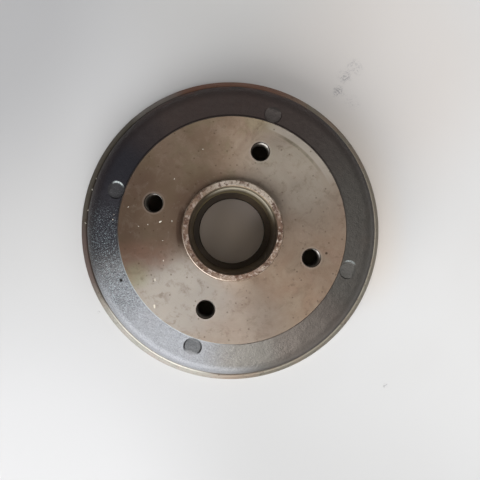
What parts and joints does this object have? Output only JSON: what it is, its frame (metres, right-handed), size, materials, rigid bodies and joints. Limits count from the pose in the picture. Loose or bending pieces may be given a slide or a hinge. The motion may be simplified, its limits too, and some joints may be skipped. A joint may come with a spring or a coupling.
{
  "type": "brake drum",
  "caption": "Small-car rear brake drum with an integral wheel hub: turned wheel face and centring collar, bearing housing, and a deep open drum for the shoes.",
  "frame": {"origin": "centre of the open rim plane, on the drum's axis, so the drum stands on its rim", "axes": "+Z along the drum's axis from the open rim to the wheel face; the wheel bolts lie on X and Y"},
  "size_m": [0.2104, 0.2104, 0.0665],
  "materials": {
    "cast_iron": "as cast, with oiled turned faces and light rust"
  },
  "bodies": {
    "root": {"brake_drum": "cast_iron"}
  },
  "joints": []
}
